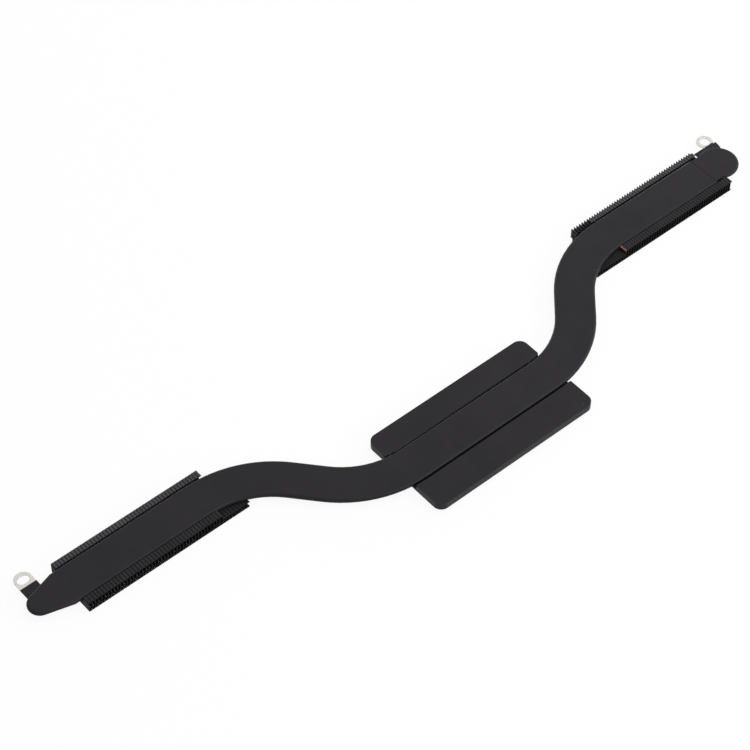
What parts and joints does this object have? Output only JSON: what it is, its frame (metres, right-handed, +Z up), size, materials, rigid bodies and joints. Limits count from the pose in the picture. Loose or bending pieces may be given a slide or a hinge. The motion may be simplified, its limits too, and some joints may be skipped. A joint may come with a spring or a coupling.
{
  "type": "flat heat pipe",
  "caption": "Black flat heat pipe with two bends to each side, a grooved base plate in the middle, folded fin stacks under both outer arms and two small screw lugs",
  "frame": {"origin": "middle of the underside of the whole outline, on the table it lies on", "axes": "+X along the longest side towards the round end of the pipe, +Y from the base plate towards the fins and lugs, +Z up through the thickness"},
  "size_m": [0.2528, 0.055, 0.0035],
  "materials": {
    "black_coating": "satin black coating on copper",
    "fin_coating": "matte black coating on thin copper sheet",
    "bare_copper": "bare copper",
    "bare_nickel": "nickel plated sheet, partly coated black"
  },
  "bodies": {
    "root": {"heat_pipe": "black_coating", "base_plate": "black_coating", "contact_pad": "bare_copper", "left_bracket": "bare_nickel", "right_bracket": "bare_nickel", "left_fins": "fin_coating", "right_fins": "fin_coating", "right_first_fin": "bare_copper", "right_last_fin": "fin_coating", "left_low_fin_1": "fin_coating", "left_low_fin_2": "fin_coating", "left_low_fin_3": "fin_coating", "left_low_fin_4": "fin_coating", "left_low_fin_5": "fin_coating", "left_low_fin_6": "fin_coating", "left_low_fin_7": "fin_coating", "left_low_fin_8": "fin_coating", "left_low_fin_9": "fin_coating", "right_low_fin_1": "fin_coating", "right_low_fin_2": "fin_coating", "right_low_fin_3": "fin_coating", "right_low_fin_4": "fin_coating", "right_low_fin_5": "fin_coating", "right_low_fin_6": "fin_coating", "right_low_fin_7": "fin_coating", "right_low_fin_8": "fin_coating", "right_low_fin_9": "fin_coating", "right_low_fin_10": "fin_coating", "right_low_fin_11": "fin_coating"}
  },
  "joints": []
}
